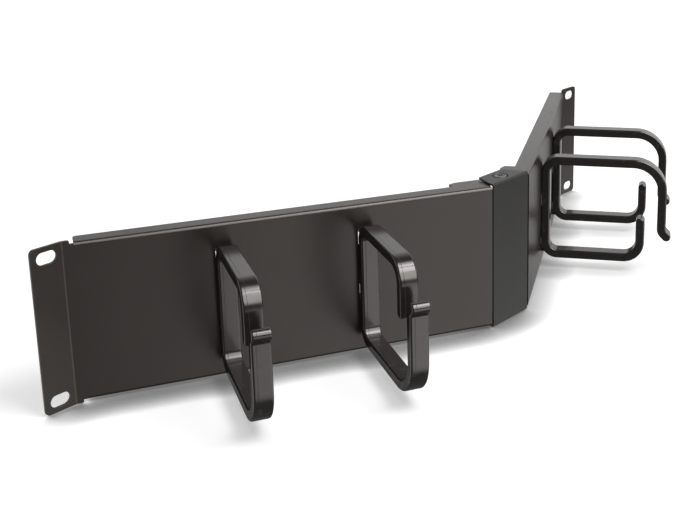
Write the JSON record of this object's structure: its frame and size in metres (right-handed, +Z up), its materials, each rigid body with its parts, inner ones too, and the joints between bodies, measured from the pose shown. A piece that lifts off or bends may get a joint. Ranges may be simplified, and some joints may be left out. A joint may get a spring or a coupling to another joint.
{
  "type": "horizontal cable manager",
  "caption": "V-shaped horizontal cable manager for a server rack: folded steel wings hinged on a nose cap, with slotted ears and open-mouthed plastic rings that guide cables along the front.",
  "frame": {"origin": "centre of the rack slots, in the plane of the back faces of the ears", "axes": "+X along the rack to the right seen from the front, +Y to the back of the rack, +Z up"},
  "size_m": [0.4826, 0.158, 0.0882],
  "materials": {
    "powder_coat": "black semi-gloss powder coat",
    "ring_plastic": "black moulded nylon, lightly glossy",
    "black_steel": "black coated screw steel, satin",
    "zinc_steel": "zinc plated, dull"
  },
  "bodies": {
    "nose": {"nose_cap": "powder_coat", "top_pivot_screw": "black_steel", "top_washer": "zinc_steel", "top_spring_washer": "zinc_steel", "top_pivot_nut": "zinc_steel", "bottom_pivot_screw": "black_steel", "bottom_washer": "zinc_steel", "bottom_spring_washer": "zinc_steel", "bottom_pivot_nut": "zinc_steel"},
    "left_side": {"left_wing": "powder_coat", "left_inner_cable_ring": "ring_plastic", "left_outer_cable_ring": "ring_plastic"},
    "right_side": {"right_wing": "powder_coat", "right_inner_cable_ring": "ring_plastic", "right_outer_cable_ring": "ring_plastic"}
  },
  "joints": [
    {"name": "left_wing_hinge", "type": "hinge", "parent": "nose", "child": "left_side", "pos_m": [0, -0.10495, 0], "axis": [0, 0, -1], "range_deg": [0, 50]},
    {"name": "right_wing_hinge", "type": "hinge", "parent": "nose", "child": "right_side", "pos_m": [0, -0.10495, 0], "axis": [0, 0, 1], "range_deg": [0, 50]}
  ]
}
